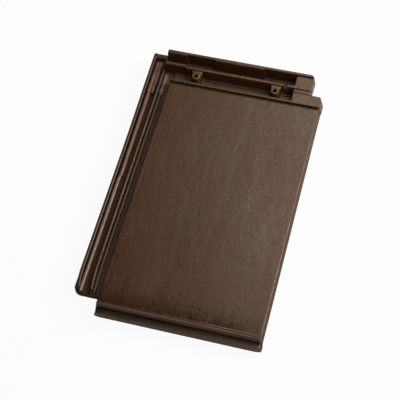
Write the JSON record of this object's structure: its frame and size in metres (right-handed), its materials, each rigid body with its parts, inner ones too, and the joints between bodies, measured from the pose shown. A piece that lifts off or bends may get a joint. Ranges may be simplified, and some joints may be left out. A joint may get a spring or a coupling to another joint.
{
  "type": "clay roof tile",
  "caption": "Flat interlocking clay roof tile with a side lock, a cover flange, head channels with nail bosses, a hanging nose and nibs under the head.",
  "frame": {"origin": "middle of the tile's box at floor height, as the tile lies on its nibs and hook ribs", "axes": "+X from the side lock to the cover flange, +Y from the nose to the head, +Z out of the weathered face"},
  "size_m": [0.296, 0.479, 0.043],
  "materials": {
    "engobed_clay": "dark brown engobe, satin"
  },
  "bodies": {
    "root": {"roof_tile": "engobed_clay"}
  },
  "joints": []
}
